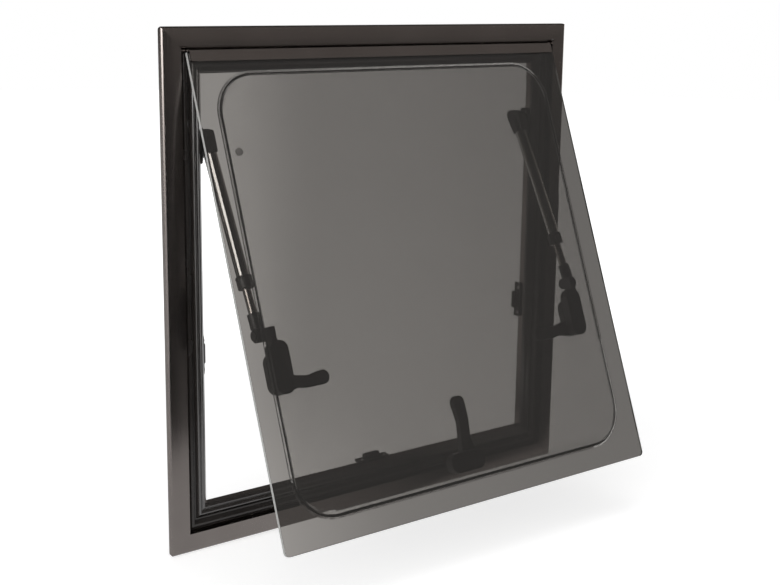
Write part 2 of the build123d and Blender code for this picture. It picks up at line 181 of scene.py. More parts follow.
class NodeChain:
    """Short node chains that materials and the world share."""

    nodes: bpy.types.Nodes
    links: bpy.types.NodeLinks

    def plug(self, source: Level, socket: Socket) -> None:
        """Links a value to a socket, or sets it there if it is a plain number.

        Args:
            source: the value.
            socket: the socket that takes it.
        """
        if isinstance(source, float):
            socket.default_value = source
        else:
            self.links.new(source, socket)

    def ramp(self, value: Socket, span: Span, levels: Span, course: Course = Course.SOFT) -> Socket:
        """A step between two levels.

        Args:
            value: what the step depends on.
            span: where it starts and ends.
            levels: the levels there.
            course: how it goes from one to the other.

        Returns:
            The level.
        """
        step = self.nodes.new("ShaderNodeMapRange")
        step.interpolation_type = course.value
        for socket, number in zip(("From Min", "From Max", "To Min", "To Max"), (*span, *levels)):
            step.inputs[socket].default_value = number
        self.links.new(value, step.inputs["Value"])
        return step.outputs["Result"]

    def vector_math(self, operation: str, vector: Socket) -> bpy.types.Node:
        """A Vector Math node.

        Args:
            operation: the node's own name for what it does.
            vector: its first input.

        Returns:
            The node.
        """
        node = self.nodes.new("ShaderNodeVectorMath")
        node.operation = operation
        self.links.new(vector, node.inputs[0])
        return node

    def grade(self, vector: Socket, grade: Grade) -> Socket:
        """A soft step along a way.

        Args:
            vector: the place or direction that is measured.
            grade: the way, where the step starts and ends, and its levels.

        Returns:
            The level.
        """
        dot = self.vector_math("DOT_PRODUCT", vector)
        dot.inputs[1].default_value = grade.way.value
        return self.ramp(dot.outputs["Value"], grade.span, grade.levels)

    def mix(self, share: Socket, first: Level, second: Level) -> Socket:
        """A level between two others.

        Args:
            share: 0 for the first, 1 for the second.
            first: the level at 0.
            second: the level at 1.

        Returns:
            The mixed level.
        """
        mix = self.nodes.new("ShaderNodeMix")
        self.links.new(share, mix.inputs["Factor"])
        self.plug(first, mix.inputs["A"])
        self.plug(second, mix.inputs["B"])
        return mix.outputs["Result"]

    def mix_colour(self, share: Socket, first: Colour, second: Colour) -> Socket:
        """A colour between two others.

        Args:
            share: 0 for the first, 1 for the second.
            first: the colour at 0.
            second: the colour at 1.

        Returns:
            The mixed colour.
        """
        mix = self.nodes.new("ShaderNodeMix")
        mix.data_type = "RGBA"
        mix.inputs["A"].default_value = (*first, 1.0)
        mix.inputs["B"].default_value = (*second, 1.0)
        self.links.new(share, mix.inputs["Factor"])
        return mix.outputs["Result"]

    def combine(self, operation: Sum, first: Level, second: Level) -> Socket:
        """The sum, difference or product of two levels.

        Args:
            operation: which of them.
            first: one level.
            second: the other level.

        Returns:
            The result.
        """
        node = self.nodes.new("ShaderNodeMath")
        node.operation = operation.value
        self.plug(first, node.inputs[0])
        self.plug(second, node.inputs[1])
        return node.outputs["Value"]

    def plus(self, first: Level, second: Level) -> Socket:
        """The sum of two levels."""
        return self.combine(Sum.PLUS, first, second)

    def less(self, first: Level, second: Level) -> Socket:
        """The first level less the second."""
        return self.combine(Sum.LESS, first, second)

    def times(self, first: Level, second: Level) -> Socket:
        """The product of two levels."""
        return self.combine(Sum.TIMES, first, second)

    def satin(self, ray: bpy.types.NodeOutputs) -> Socket:
        """1 on rays from a satin surface, 0 on those from a flawlessly smooth one."""
        return self.less(1.0, ray["Is Singular Ray"])


class ShaderTree(NodeChain):
    """A new material and the short node chains that the finishes share."""

    def __init__(self, name: str) -> None:
        """Makes the material with its one Principled shader.

        Args:
            name: the material's name.
        """
        self.material = bpy.data.materials.new(name)
        self.material.use_nodes = True
        self.nodes = self.material.node_tree.nodes
        self.links = self.material.node_tree.links
        self.shader = self.nodes["Principled BSDF"]
        self.output = self.nodes["Material Output"]
        self.place = self.nodes.new("ShaderNodeTexCoord").outputs["Object"]

    def put(self, **values: object) -> None:
        """Sets constant values on the shader's own sockets, named with _ for a space."""
        for key, value in values.items():
            self.shader.inputs[key.replace("_", " ")].default_value = value

    def feed(self, socket: str, value: Socket) -> None:
        """Links a value to one of the shader's sockets."""
        self.links.new(value, self.shader.inputs[socket])

    def noise(
        self, size: float, stretch: Triple = (1.0, 1.0, 1.0), run: Run = Run.ALONG_X, detail: float = 2.0,
    ) -> Socket:
        """A noise pattern on Object coordinates.

        Args:
            size: the width of one blotch, in metres.
            stretch: how many times longer the blotches are along the piece's own axes.
            run: the direction that the first axis of stretch follows.
            detail: octaves of finer noise.

        Returns:
            The noise value, from 0 to 1.
        """
        mapping = self.nodes.new("ShaderNodeMapping")
        mapping.vector_type = "TEXTURE"
        mapping.inputs["Rotation"].default_value = run.value
        mapping.inputs["Scale"].default_value = [size * factor for factor in stretch]
        noise = self.nodes.new("ShaderNodeTexNoise")
        noise.inputs["Scale"].default_value = 1.0
        noise.inputs["Detail"].default_value = detail
        self.links.new(self.place, mapping.inputs["Vector"])
        self.links.new(mapping.outputs["Vector"], noise.inputs["Vector"])
        return noise.outputs["Fac"]

    def between(self, value: Socket, low: float, high: float) -> Socket:
        """Spreads the middle of a noise over a range."""
        return self.ramp(value, NOISE_MIDDLE, (low, high), Course.EVEN)

    def tint(self, value: Socket, dark: Colour, light: Colour) -> Socket:
        """A colour that wanders between two shades with a noise."""
        return self.mix_colour(self.between(value, 0.0, 1.0), dark, light)

    def bump(self, height: Socket, depth: float, strength: float = 1.0) -> None:
        """Raises the surface by a height pattern.

        Args:
            height: the pattern, from 0 to 1.
            depth: the relief in metres.
            strength: how much of the relief shows.
        """
        bump = self.nodes.new("ShaderNodeBump")
        bump.inputs["Distance"].default_value = depth
        bump.inputs["Strength"].default_value = strength
        self.links.new(height, bump.inputs["Height"])
        self.feed("Normal", bump.outputs["Normal"])

    def soak(self, colour: Colour, density: float) -> None:
        """Lets the solid take up light on its way through.

        Args:
            colour: the colour that the light keeps.
            density: how fast the rest is lost, per metre.
        """
        volume = self.nodes.new("ShaderNodeVolumeAbsorption")
        volume.inputs["Color"].default_value = (*colour, 1.0)
        volume.inputs["Density"].default_value = density
        self.links.new(volume.outputs["Volume"], self.output.inputs["Volume"])

    def pass_lamp_light(self, shade: Colour) -> None:
        """Lets the lamps shine through a clear piece without bending their light.

        Args:
            shade: the share of the light that gets through.
        """
        path = self.nodes.new("ShaderNodeLightPath")
        clear = self.nodes.new("ShaderNodeBsdfTransparent")
        clear.inputs["Color"].default_value = (*shade, 1.0)
        mix = self.nodes.new("ShaderNodeMixShader")
        self.links.new(path.outputs["Is Shadow Ray"], mix.inputs["Fac"])
        self.links.new(self.shader.outputs["BSDF"], mix.inputs[1])
        self.links.new(clear.outputs["BSDF"], mix.inputs[2])
        self.links.new(mix.outputs["Shader"], self.output.inputs["Surface"])


@dataclass(frozen=True)
class DrawnMetal:
    """Metal with fine drawing lines along its length."""

    name: str
    run: Run
    dark: Colour
    light: Colour
    smooth: float
    rough: float
    line_width: float = 0.25 * MM
    line_stretch: float = 400.0
    line_depth: float = 0.0008 * MM
    cloud: float = 15.0 * MM

    def make(self) -> bpy.types.Material:
        """Builds the material.

        Returns:
            The material.
        """
        tree = ShaderTree(self.name)
        tree.put(Metallic=1.0)
        lines = tree.noise(self.line_width, (self.line_stretch, 1.0, 1.0), self.run)
        tree.feed("Base Color", tree.tint(tree.noise(self.cloud), self.dark, self.light))
        tree.feed("Roughness", tree.between(lines, self.smooth, self.rough))
        tree.bump(lines, self.line_depth)
        return tree.material


@dataclass(frozen=True)
class BronzeAnodised(DrawnMetal):
    """Dark bronze anodised aluminium, satin, with faint die lines along the extrusion."""

    dark: Colour = (0.192, 0.172, 0.163)
    light: Colour = (0.214, 0.192, 0.182)
    smooth: float = 0.19
    rough: float = 0.24
    line_width: float = 0.4 * MM
    line_stretch: float = 2000.0
    line_depth: float = 0.0002 * MM
    cloud: float = 60.0 * MM


@dataclass(frozen=True)
class TubeAluminium(DrawnMetal):
    """Bright drawn aluminium of the stays' tubes."""

    name: str = "stay_tube"
    run: Run = Run.ALONG_STAY
    dark: Colour = (0.36, 0.355, 0.345)
    light: Colour = (0.41, 0.405, 0.395)
    smooth: float = 0.08
    rough: float = 0.13


@dataclass(frozen=True)
class RodSteel(DrawnMetal):
    """Ground steel of the stays' rods."""

    name: str = "stay_rod"
    run: Run = Run.ALONG_STAY
    dark: Colour = (0.30, 0.28, 0.26)
    light: Colour = (0.36, 0.34, 0.32)
    smooth: float = 0.18
    rough: float = 0.25


@dataclass(frozen=True)
class ScrewSteel(DrawnMetal):
    """Dull plated steel of the small screws."""

    name: str = "screw_steel"
    run: Run = Run.ALONG_X
    dark: Colour = (0.30, 0.29, 0.28)
    light: Colour = (0.38, 0.37, 0.36)
    smooth: float = 0.28
    rough: float = 0.36


@dataclass(frozen=True)
class BlackRubber:
    """Soft black sealing rubber with a smooth extruded skin."""

    name: str = "rubber_seal"
    dark: Colour = (0.021, 0.018, 0.0165)
    light: Colour = (0.029, 0.025, 0.023)
    smooth: float = 0.22
    rough: float = 0.30
    gleam: float = 0.5
    skin: float = 0.0
    patch: float = 40.0 * MM
    grain: float = 0.8 * MM
    relief: float = 0.006 * MM
    relief_share: float = 0.4

    def make(self) -> bpy.types.Material:
        """Builds the material.

        Returns:
            The material.
        """
        tree = ShaderTree(self.name)
        tree.put(Specular_IOR_Level=self.gleam, Coat_Weight=self.skin, Coat_Roughness=self.smooth)
        patches = tree.noise(self.patch)
        tree.feed("Base Color", tree.tint(patches, self.dark, self.light))
        tree.feed("Roughness", tree.between(patches, self.smooth, self.rough))
        tree.bump(tree.noise(self.grain), self.relief, self.relief_share)
        return tree.material


@dataclass(frozen=True)
class LipRubber(BlackRubber):
    """The same rubber with the slick skin of a lip that slides."""

    name: str = "lip_rubber"
    smooth: float = 0.12
    rough: float = 0.18
    gleam: float = 1.0
    skin: float = 1.0


@dataclass(frozen=True)
class MouldedPlastic:
    """Black moulded plastic with a fine spark-eroded grain."""

    name: str
    dark: Colour = (0.011, 0.010, 0.010)
    light: Colour = (0.018, 0.017, 0.016)
    smooth: float = 0.36
    rough: float = 0.50
    patch: float = 12.0 * MM
    grain: float = 0.30 * MM
    grain_detail: float = 3.0
    relief: float = 0.03 * MM
    relief_share: float = 0.5

    def make(self) -> bpy.types.Material:
        """Builds the material.

        Returns:
            The material.
        """
        tree = ShaderTree(self.name)
        grain = tree.noise(self.grain, detail=self.grain_detail)
        tree.feed("Base Color", tree.tint(tree.noise(self.patch), self.dark, self.light))
        tree.feed("Roughness", tree.between(grain, self.smooth, self.rough))
        tree.bump(grain, self.relief, self.relief_share)
        return tree.material


@dataclass(frozen=True)
class BondAdhesive(MouldedPlastic):
    """Dark adhesive between the two acrylic sheets."""

    name: str = "bond_adhesive"
    dark: Colour = (0.012, 0.011, 0.010)
    light: Colour = (0.020, 0.018, 0.017)
    smooth: float = 0.30
    rough: float = 0.40


@dataclass(frozen=True)
class ClearAcrylic:
    """Glossy acrylic, tinted or clear, which also lets lamp light through."""

    name: str
    colour: Colour
    shade: Colour
    haze: float = 0.0
    soak_density: float = 0.0
    soak_colour: Colour = (0.50, 0.49, 0.47)
    refraction: float = 1.49
    smooth: float = 0.0
    rough: float = 0.012
    cloud: float = 60.0 * MM

    def make(self) -> bpy.types.Material:
        """Builds the material.

        Returns:
            The material.
        """
        tree = ShaderTree(self.name)
        tree.put(Base_Color=(*self.colour, 1.0), Transmission_Weight=1.0 - self.haze, IOR=self.refraction)
        tree.feed("Roughness", tree.between(tree.noise(self.cloud), self.smooth, self.rough))
        if self.soak_density:
            tree.soak(self.soak_colour, self.soak_density)
        tree.pass_lamp_light(self.shade)
        return tree.material


@dataclass(frozen=True)
class OuterSheet(ClearAcrylic):
    """Grey-brown tinted sheet, so smooth that the sky's bright patches leave it out."""

    name: str = "outer_acrylic"
    colour: Colour = (0.262, 0.249, 0.236)
    shade: Colour = (0.27, 0.26, 0.25)
    haze: float = 0.05
    rough: float = 0.0035


@dataclass(frozen=True)
class InnerSheet(ClearAcrylic):
    """Clear formed sheet, which greys along its thick walls."""

    name: str = "inner_acrylic"
    colour: Colour = (0.99, 0.99, 0.985)
    shade: Colour = (0.90, 0.90, 0.89)
    soak_density: float = 16.0


@dataclass(frozen=True)
class SmokyPlug(ClearAcrylic):
    """Smoky clear plastic of the breather plug."""

    name: str = "plug_plastic"
    colour: Colour = (0.82, 0.81, 0.80)
    shade: Colour = (0.80, 0.80, 0.79)
    haze: float = 0.10


@dataclass(frozen=True)
class SawnAcrylic:
    """Pale matt edge that the saw leaves on an acrylic sheet, with fine tooth marks across it."""

    name: str = "sawn_edge"
    dark: Colour = (0.30, 0.30, 0.29)
    light: Colour = (0.44, 0.44, 0.43)
    smooth: float = 0.30
    rough: float = 0.50
    mark: float = 0.5 * MM
    mark_stretch: float = 12.0
    relief: float = 0.02 * MM
    relief_share: float = 0.5

    def make(self) -> bpy.types.Material:
        """Builds the material.

        Returns:
            The material.
        """
        tree = ShaderTree(self.name)
        marks = tree.noise(self.mark, (1.0, self.mark_stretch, 1.0))
        tree.feed("Base Color", tree.tint(marks, self.dark, self.light))
        tree.feed("Roughness", tree.between(marks, self.smooth, self.rough))
        tree.bump(marks, self.relief, self.relief_share)
        return tree.material


@dataclass(frozen=True)
class SawnEdgePaintedShade(SawnAcrylic):
    """The back of the sawn edge, with painted shade: coloured as dark as the tinted sheet that it is seen
    through, not the edge's own pale colour.
    """

    name: str = "sawn_edge_painted_shade"
    # dark and light: painted shade, the darkness that the edge shows through the tinted sheet
    dark: Colour = (0.020, 0.019, 0.018)
    light: Colour = (0.032, 0.030, 0.028)


@dataclass
class Dresser:
    """Gives CAD nodes their finishes and adds new pieces."""

    nodes: dict[str, bpy.types.Object]

    def dress(self, node: str, material: bpy.types.Material) -> None:
        """Puts one material on all of a node's slots.

        Args:
            node: the CAD node's name.
            material: its finish.
        """
        piece = self.nodes[node]
        if not piece.material_slots:
            piece.data.materials.append(material)
        for slot in piece.material_slots:
            slot.material = material
        LOG.info("dressed %s with %s", node, material.name)

    def add(
        self, name: str, mesh: bmesh.types.BMesh, materials: list[bpy.types.Material], body: str, slot: Slot,
    ) -> None:
        """Makes a new piece of a finished bmesh.

        Args:
            name: the piece's name.
            mesh: its shape, in place, which is used up.
            materials: its finishes, in the order of the faces' own numbers.
            body: the CAD body that carries it.
            slot: the record's material slot; not used.
        """
        bmesh.ops.recalc_face_normals(mesh, faces=mesh.faces[:])
        data = bpy.data.meshes.new(name)
        mesh.to_mesh(data)
        mesh.free()
        data.shade_smooth()
        data.set_sharp_from_angle(angle=SMOOTH_ANGLE)
        for material in materials:
            data.materials.append(material)
        piece = bpy.data.objects.new(name, data)
        bpy.context.scene.collection.objects.link(piece)
        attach(piece, body)
        LOG.info("added %s to %s", name, body)


@dataclass
class SashPlace:
    """The turn between the sash's closed pose, in which its pieces lie square, and its rest pose."""

    nodes: dict[str, bpy.types.Object]
    hinge: Vector
    axis: Vector
    swing: float

    def to_rest(self) -> Matrix:
        """The matrix that opens the sash from closed to rest."""
        turn = Matrix.Rotation(self.swing, 4, self.axis)
        return Matrix.Translation(self.hinge) @ turn @ Matrix.Translation(-self.hinge)

    def closed_box(self, node: str) -> tuple[Vector, Vector]:
        """A node's box with the sash closed.

        Args:
            node: the CAD node's name.

        Returns:
            Its lowest and highest corners.
        """
        back = self.to_rest().inverted()
        places = [back @ vertex.co for vertex in self.nodes[node].data.vertices]
        low = Vector(min(place[axis] for place in places) for axis in range(3))
        high = Vector(max(place[axis] for place in places) for axis in range(3))
        return low, high


@dataclass
class StayLine:
    """A stay's own line at rest: its foot pin and the direction to its head."""

    nodes: dict[str, bpy.types.Object]
    foot: Vector
    ahead: Vector

    def at(self, along: float) -> Matrix:
        """The matrix that stands a round piece on the line at a distance from the foot pin."""
        turn = self.ahead.to_track_quat("Z", "X").to_matrix().to_4x4()
        return Matrix.Translation(self.foot + self.ahead * along) @ turn

    def reach(self, node: str) -> tuple[float, float]:
        """Where a round node ends on the line.

        Args:
            node: the CAD node's name.

        Returns:
            Its upper end and its radius.
        """
        offsets = [vertex.co - self.foot for vertex in self.nodes[node].data.vertices]
        along = [offset.dot(self.ahead) for offset in offsets]
        radius = max((offset - self.ahead * step).length for offset, step in zip(offsets, along))
        return max(along), radius


@dataclass
class CrossScrew:
    """Small pan-head screw with a cross recess, drawn round its own Z axis with the head up."""

    finish: bpy.types.Material
    head_radius: float = 2.0 * MM
    head_height: float = 1.1 * MM
    head_sides: int = 24
    crown: float = 0.6 * MM
    crown_steps: int = 4
    rim: float = 0.25 * MM
    slot_half: float = 0.28 * MM
    slot_depth: float = 0.7 * MM

    def fit(self, dresser: Dresser, name: str, seat: Matrix, body: str) -> None:
        """Adds one screw to the object.

        Args:
            dresser: what adds it.
            name: the piece's name.
            seat: the place and turn of the face that its head lies on.
            body: the CAD body that carries it.
        """
        mesh = self.mesh()
        bmesh.ops.transform(mesh, matrix=seat, verts=mesh.verts[:])
        dresser.add(name, mesh, [self.finish], body, Slot.STEEL)

    def mesh(self) -> bmesh.types.BMesh:
        """Builds the head.

        Returns:
            The bmesh, standing on the origin.
        """
        mesh = bmesh.new()
        bmesh.ops.create_circle(mesh, cap_ends=True, radius=self.head_radius, segments=self.head_sides)
        risen = picked(bmesh.ops.extrude_face_region(mesh, geom=mesh.faces[:]), bmesh.types.BMVert)
        bmesh.ops.translate(mesh, verts=risen, vec=(0.0, 0.0, self.head_height))
        soften(mesh, self.top_face(mesh).edges[:], self.crown, self.crown_steps)
        bmesh.ops.inset_region(mesh, faces=[self.top_face(mesh)], thickness=self.rim)
        self.cut_cross(mesh)
        return mesh

    def top_face(self, mesh: bmesh.types.BMesh) -> bmesh.types.BMFace:
        """The round face on top of the head."""
        level = [face for face in mesh.faces if face.normal.z > LOOKS_UP]
        return max(level, key=lambda face: (len(face.verts), face.calc_area()))

    def cut_cross(self, mesh: bmesh.types.BMesh) -> None:
        """Sinks the cross into the top face.

        Args:
            mesh: the head, with its top face inset.
        """
        crown = [self.top_face(mesh)]
        for axis in (Vector((1.0, 0.0, 0.0)), Vector((0.0, 1.0, 0.0))):
            for side in (-self.slot_half, self.slot_half):
                parts = crown + list(dict.fromkeys(edge for face in crown for edge in face.edges))
                parts += list(dict.fromkeys(vert for face in crown for vert in face.verts))
                made = bmesh.ops.bisect_plane(mesh, geom=parts, plane_co=axis * side, plane_no=axis)
                crown = picked(made, bmesh.types.BMFace)
        cross = []
        for face in crown:
            middle = face.calc_center_median()
            if min(abs(middle.x), abs(middle.y)) < self.slot_half:
                cross.append(face)
        lowered = picked(bmesh.ops.extrude_face_region(mesh, geom=cross), bmesh.types.BMVert)
        bmesh.ops.translate(mesh, verts=lowered, vec=(0.0, 0.0, -self.slot_depth))
        bmesh.ops.delete(mesh, geom=[face for face in cross if face.is_valid], context="FACES_ONLY")


@dataclass
class RoundBand:
    """Narrow raised ring round a tube, drawn round its own Z axis."""

    radius: float
    proud: float
    height: float
    sunk: float = 0.4 * MM
    steps: int = 64

    def mesh(self) -> bmesh.types.BMesh:
        """Builds the ring.

        Returns:
            The bmesh, centred on the origin.
        """
        mesh = bmesh.new()
        inner = self.radius - self.sunk
        crest = self.radius + self.proud
        half = self.height / 2
        corners = [(inner, -half), (self.radius, -half), (crest, 0.0), (self.radius, half), (inner, half)]
        verts = [mesh.verts.new((across, 0.0, along)) for across, along in corners]
        edges = [mesh.edges.new(ends) for ends in zip(verts, verts[1:] + verts[:1])]
        bmesh.ops.spin(
            mesh, geom=verts + edges, cent=(0.0, 0.0, 0.0), axis=(0.0, 0.0, 1.0), angle=math.tau,
            steps=self.steps, use_merge=True,
        )
        return mesh


@dataclass
class OuterFrame:
    """Mitred frame, its rubber seal, strikers and stay brackets.

    The lip's line is its section: how far each corner lies in from the frame's outer edge, and how far back
    from its front.
    """

    dresser: Dresser
    screw: CrossScrew
    striker_plate: float = 2.5 * MM
    striker_screw_span: float = 31.0 * MM
    bracket_plate: float = 3.0 * MM
    bracket_screw_span: float = 27.0 * MM
    screw_inset: float = 2.6 * MM
    lip_base: float = 11.0 * MM
    lip_line: tuple[Span, ...] = (
        (33.1 * MM, 11.0 * MM), (33.1 * MM, 8.8 * MM),
        (36.0 * MM, 5.6 * MM), (37.2 * MM, 5.6 * MM),
        (39.8 * MM, 8.5 * MM), (40.2 * MM, 8.5 * MM),
        (41.6 * MM, 7.2 * MM), (42.6 * MM, 7.2 * MM),
        (45.4 * MM, 10.3 * MM), (45.4 * MM, 11.0 * MM),
    )
    lip_round: float = 0.6 * MM
    lip_round_steps: int = 4

    def dress(self) -> None:
        """Gives the frame's nodes their finishes."""
        level = BronzeAnodised("bronze_level", Run.ALONG_X).make()
        upright = BronzeAnodised("bronze_upright", Run.ALONG_Z).make()
        rubber = BlackRubber().make()
        plastic = MouldedPlastic("frame_plastic").make()
        for node in ("frame_top_rail", "frame_bottom_rail"):
            self.dresser.dress(node, level)
        for node in ("frame_left_jamb", "frame_right_jamb"):
            self.dresser.dress(node, upright)
        for side in ("top", "bottom", "left", "right"):
            self.dresser.dress(f"seal_{side}", rubber)
        for side in LATCH_SIDES:
            self.dresser.dress(f"striker_{side}", plastic)
        for side in SIDES:
            self.dresser.dress(f"stay_bracket_{side}", plastic)

    def fit_lip(self) -> None:
        """Lays a two-ridged rubber lip round the ledge, from the seal to the edge of the opening."""
        low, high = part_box("frame_left_jamb")
        half_height = (high.z - low.z) / 2
        to_middle = Matrix.Translation((0.0, 0.0, -low.z - half_height))
        mesh = bmesh.new()
        verts = [
            mesh.verts.new((low.x + inset, low.y + depth, low.z + inset)) for inset, depth in self.lip_line
        ]
        edges = [mesh.edges.new(ends) for ends in zip(verts, verts[1:] + verts[:1])]
        for flip in (Vector((-1.0, 1.0, 1.0)), Vector((1.0, 1.0, -1.0))) * 2:
            made = bmesh.ops.extrude_edge_only(mesh, edges=edges)
            edges = picked(made, bmesh.types.BMEdge)
            bmesh.ops.scale(mesh, vec=flip, space=to_middle, verts=picked(made, bmesh.types.BMVert))
        bmesh.ops.remove_doubles(mesh, verts=mesh.verts[:], dist=WELD)
        bmesh.ops.recalc_face_normals(mesh, faces=mesh.faces[:])
        off_base = low.y + self.lip_base - self.lip_round
        ridges = [
            edge for edge in mesh.edges
            if edge.calc_length() > half_height and edge.verts[0].co.y < off_base
        ]
        soften(mesh, ridges, self.lip_round, self.lip_round_steps)
        self.dresser.add("ledge_lip", mesh, [LipRubber().make()], "frame", Slot.RUBBER)

    def screw_seat(self, node: str, plate: float, step: float) -> Matrix:
        """The seat of a screw on a striker or bracket.

        Args:
            node: the CAD node's name.
            plate: the thickness of its base plate.
            step: how far along the plate the screw lies from its middle.

        Returns:
            The place and turn of the face under the screw's head.
        """
        low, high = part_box(node)
        middle = (low + high) / 2
        depth = low.y + self.screw_inset
        if node.endswith("left"):
            place, way = Vector((low.x + plate, depth, middle.z + step)), Facing.RIGHT
        elif node.endswith("right"):
            place, way = Vector((high.x - plate, depth, middle.z + step)), Facing.LEFT
        else:
            place, way = Vector((middle.x + step, depth, low.z + plate)), Facing.UP
        return Matrix.Translation(place) @ way.value

    def fit_screws(self) -> None:
        """Puts two screws in each striker and each stay bracket."""
        jobs = [(f"striker_{side}", self.striker_plate, self.striker_screw_span) for side in LATCH_SIDES]
        jobs += [(f"stay_bracket_{side}", self.bracket_plate, self.bracket_screw_span) for side in SIDES]
        for node, plate, span in jobs:
            for number, step in enumerate((-span / 2, span / 2), 1):
                seat = self.screw_seat(node, plate, step)
                self.screw.fit(self.dresser, f"{node}_screw_{number}", seat, "frame")


@dataclass
class Sash:
    """Double acrylic sash with its hinge strip, plug and latches."""

    dresser: Dresser
    place: SashPlace
    screw: CrossScrew
    film_gap: float = 0.02 * MM
    edge_skin: float = 0.15 * MM
    edge_front: float = 0.30 * MM
    edge_corner: float = 5.0 * MM
    edge_corner_steps: int = 8
    bond_inset: float = 2.0 * MM
    bond_width: float = 1.5 * MM
    bond_height: float = 0.1 * MM
    tray_corner: float = 45.0 * MM
    tray_corner_steps: int = 16

    def dress(self) -> None:
        """Gives the sash's nodes their finishes."""
        self.dresser.dress("outer_pane", OuterSheet().make())
        self.dresser.dress("inner_tray", InnerSheet().make())
        self.dresser.dress("hinge_strip", BronzeAnodised("bronze_strip", Run.ALONG_X).make())
        self.dresser.dress("breather_plug", SmokyPlug().make())
        plastic = MouldedPlastic("latch_plastic").make()
        for side in LATCH_SIDES:
            for piece in ("latch_base", "latch_cap", "latch_lever"):
                self.dresser.dress(f"{piece}_{side}", plastic)

    def fit_pane_edge(self) -> None:
        """Lays the sawn skin on the pane's two sides and bottom, with painted shade on its faces towards the
        pane.
        """
        low, high = self.place.closed_box("outer_pane")
        middle = (low + high) / 2
        left, right = low.x - self.film_gap, high.x + self.film_gap
        foot = low.z - self.film_gap
        front = low.y + self.edge_front
        width = high.y - low.y - 2 * self.edge_front
        mesh = bmesh.new()
        corners = [(left, high.z), (left, foot), (right, foot), (right, high.z)]
        verts = [mesh.verts.new((across, front, up)) for across, up in corners]
        edges = [mesh.edges.new(ends) for ends in zip(verts, verts[1:])]
        moved = picked(bmesh.ops.extrude_edge_only(mesh, edges=edges), bmesh.types.BMVert)
        bmesh.ops.translate(mesh, verts=moved, vec=(0.0, width, 0.0))
        bends = [edge for edge in mesh.edges if len(edge.link_faces) == 2]
        soften(mesh, bends, self.edge_corner, self.edge_corner_steps)
        for face in mesh.faces:
            if face.normal.dot(face.calc_center_median() - middle) < 0:
                face.normal_flip()
        bmesh.ops.solidify(mesh, geom=mesh.faces[:], thickness=-self.edge_skin)
        bmesh.ops.recalc_face_normals(mesh, faces=mesh.faces[:])
        # Faces that look into the pane take the second finish, a painted shade; those that look out take the
        # pale sawn finish.
        for face in mesh.faces:
            face.material_index = int(face.normal.dot(face.calc_center_median() - middle) < 0)
        bmesh.ops.transform(mesh, matrix=self.place.to_rest(), verts=mesh.verts[:])
        finishes = [SawnAcrylic().make(), SawnEdgePaintedShade().make()]
        self.dresser.add("pane_sawn_edge", mesh, finishes, "sash", Slot.ACRYLIC)

    def fit_bond_line(self) -> None:
        """Lays the dark line of adhesive under the foot of the tray's wall."""
        low, high = self.place.closed_box("inner_tray")
        left, right = low.x + self.bond_inset, high.x - self.bond_inset
        foot, head = low.z + self.bond_inset, high.z - self.bond_inset
        depth = low.y + self.film_gap
        corner = self.tray_corner - self.bond_inset
        mesh = bmesh.new()
        corners = [(left, foot), (right, foot), (right, head), (left, head)]
        sheet = mesh.faces.new([mesh.verts.new((across, depth, up)) for across, up in corners])
        soften(mesh, sheet.verts[:], corner, self.tray_corner_steps, Rounding.CORNERS)
        inside = mesh.faces[:]
        bmesh.ops.inset_region(mesh, faces=inside, thickness=self.bond_width, use_boundary=True)
        bmesh.ops.delete(mesh, geom=inside, context="FACES")
        made = bmesh.ops.extrude_face_region(mesh, geom=mesh.faces[:], use_keep_orig=True)
        risen = picked(made, bmesh.types.BMVert)
        bmesh.ops.translate(mesh, verts=risen, vec=(0.0, self.bond_height, 0.0))
        bmesh.ops.transform(mesh, matrix=self.place.to_rest(), verts=mesh.verts[:])
        self.dresser.add("tray_bond_line", mesh, [BondAdhesive().make()], "sash", Slot.PLASTIC)

    def fit_screws(self) -> None:
        """Puts a screw in the middle of each latch cap."""
        for side in LATCH_SIDES:
            low, high = self.place.closed_box(f"latch_cap_{side}")
            middle = (low + high) / 2
            seat = Matrix.Translation((middle.x, high.y, middle.z)) @ Facing.INWARDS.value
            self.screw.fit(self.dresser, f"latch_cap_{side}_screw", self.place.to_rest() @ seat, "sash")


@dataclass
class Stays:
    """The two telescopic stays."""

    dresser: Dresser
    lines: dict[str, StayLine]
    band_proud: float = 0.35 * MM
    band_height: float = 2.0 * MM
    band_inset: float = 1.8 * MM

    def dress(self) -> None:
        """Gives the stays' nodes their finishes."""
        tube = TubeAluminium().make()
        rod = RodSteel().make()
        plastic = MouldedPlastic("stay_plastic").make()
        for side in SIDES:
            self.dresser.dress(f"stay_tube_{side}", tube)
            self.dresser.dress(f"stay_rod_{side}", rod)
            for piece in ("stay_head", "stay_collar", "stay_foot", "stay_pin_cap"):
                self.dresser.dress(f"{piece}_{side}", plastic)

    def fit_bands(self) -> None:
        """Puts a raised ring near the upper end of each collar."""
        plastic = MouldedPlastic("band_plastic").make()
        for side, line in self.lines.items():
            end, radius = line.reach(f"stay_collar_{side}")
            band = RoundBand(radius, self.band_proud, self.band_height).mesh()
            bmesh.ops.transform(band, matrix=line.at(end - self.band_inset), verts=band.verts[:])
            name = f"stay_collar_{side}_band"
            self.dresser.add(name, band, [plastic], f"stay_tube_{side}", Slot.PLASTIC)


@dataclass(frozen=True)
class Softbox:
    """One area lamp, which lights matt surfaces only."""

    name: str
    place: Triple
    width: float
    height: float
    glow: float

    def build(self, aim: Triple) -> None:
        """Adds the lamp, its power worked out from how bright its face is.

        Args:
            aim: the point that it shines at.
        """
        lamp = bpy.data.lights.new(self.name, "AREA")
        lamp.shape = "RECTANGLE"
        lamp.size = self.width
        lamp.size_y = self.height
        lamp.energy = self.glow * math.pi * self.width * self.height
        holder = bpy.data.objects.new(self.name, lamp)
        holder.location = self.place
        holder.rotation_euler = (Vector(aim) - Vector(self.place)).to_track_quat("-Z", "Y").to_euler()
        holder.visible_camera = False
        holder.visible_transmission = False
        holder.visible_glossy = False
        bpy.context.scene.collection.objects.link(holder)


